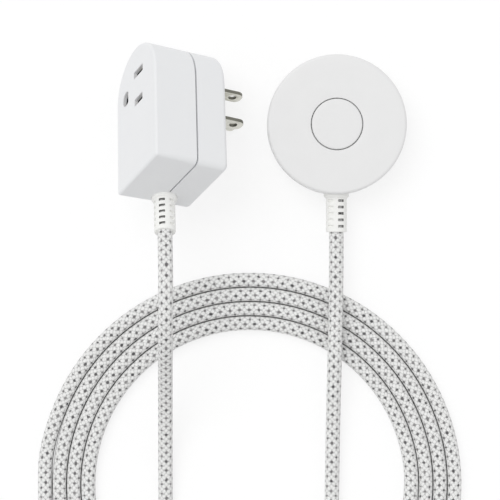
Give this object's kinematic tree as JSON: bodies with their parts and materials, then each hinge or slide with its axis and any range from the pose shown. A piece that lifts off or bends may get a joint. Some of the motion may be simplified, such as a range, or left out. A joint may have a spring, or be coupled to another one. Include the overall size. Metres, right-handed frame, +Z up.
{
  "type": "tabletop push switch",
  "caption": "Round tabletop push-button switch on a braided cord, with a plug-in tap block that passes the power on.",
  "frame": {"origin": "centre of the puck's foot pad where it rests on the table", "axes": "+Z up along the button's axis, the cord leaves the puck towards -Y, +X to the right of the picture"},
  "size_m": [0.1726, 0.2617, 0.063],
  "materials": {
    "puck_white": "satin",
    "button_white": "satin",
    "relief_white": "satin",
    "tap_white": "satin",
    "cord_braid": "braided",
    "pad_rubber": "matte",
    "steel": "plain",
    "blade_nickel": "nickel plated",
    "contact_brass": "plain",
    "housing_grey": "matte",
    "wire_black": "smooth",
    "wire_white": "smooth"
  },
  "bodies": {
    "switch_and_tap": {"top_cover": "puck_white", "base_shell": "puck_white", "switch_strain_relief": "relief_white", "tap_strain_relief": "relief_white", "tap_front_cover": "tap_white", "tap_rear_cover": "tap_white", "cord_end_in_switch": "cord_braid", "switch_lead": "cord_braid", "cord_coil": "cord_braid", "tap_lead": "cord_braid", "cord_end_in_tap": "cord_braid", "foot_pad": "pad_rubber", "case_screws": "steel", "clamp_screws": "steel", "tap_screws": "steel", "return_spring": "steel", "neutral_blade": "blade_nickel", "hot_blade": "blade_nickel", "ground_pin": "blade_nickel", "line_terminal": "contact_brass", "load_terminal": "contact_brass", "neutral_contact": "contact_brass", "hot_contact": "contact_brass", "ground_contact": "contact_brass", "switch_housing": "housing_grey", "terminal_board": "housing_grey", "cord_clamp": "housing_grey", "contact_carrier": "housing_grey", "line_wire": "wire_black", "tap_line_wire": "wire_black", "load_wire": "wire_white", "tap_load_wire": "wire_white"},
    "button": {"button_cap": "button_white", "slider": "housing_grey", "contact_bridge": "contact_brass"},
    "latch": {"latch_wire": "steel"}
  },
  "joints": [
    {"name": "button_press", "type": "slide", "parent": "switch_and_tap", "child": "button", "axis": [0, 0, -1], "range_m": [0, 0.0025], "stiffness_N_per_m": 1600, "springref_m": -0.00125, "deforming": ["return_spring"]},
    {"name": "latch_swing", "type": "hinge", "parent": "switch_and_tap", "child": "latch", "pos_m": [0, 0.007, 0.0052], "axis": [0, 1, 0], "range_deg": [0, 7]}
  ],
  "couplings": [
    {"joint": "latch_swing", "follows": "button_press", "rad_per_m": 48.8}
  ]
}
